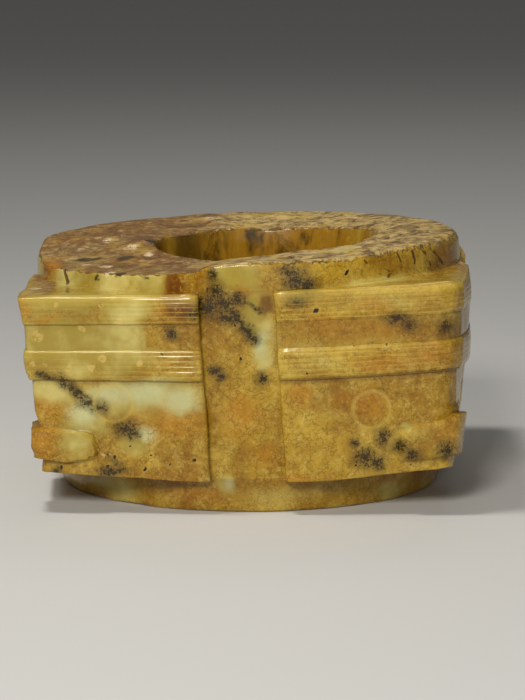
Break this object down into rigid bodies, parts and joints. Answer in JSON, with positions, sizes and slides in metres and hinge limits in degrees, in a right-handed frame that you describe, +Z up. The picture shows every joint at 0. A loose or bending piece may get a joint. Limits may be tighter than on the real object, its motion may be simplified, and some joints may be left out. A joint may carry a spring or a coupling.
{
  "type": "jade cong",
  "caption": "Squat square tube of carved stone with a wide round bore, round collars above and below, grooved sides and corners cut with lined bands, ring eyes and nose bars.",
  "frame": {"origin": "middle of the foot, on the surface that the cong stands on", "axes": "+Z up along the bore, -Y towards the front face, +X towards the right of the front face"},
  "size_m": [0.099, 0.099, 0.0574],
  "materials": {
    "jade": "polished honey brown jade, a little translucent, with pale green zones and black mineral flecks"
  },
  "bodies": {
    "root": {"cong": "jade"}
  },
  "joints": []
}
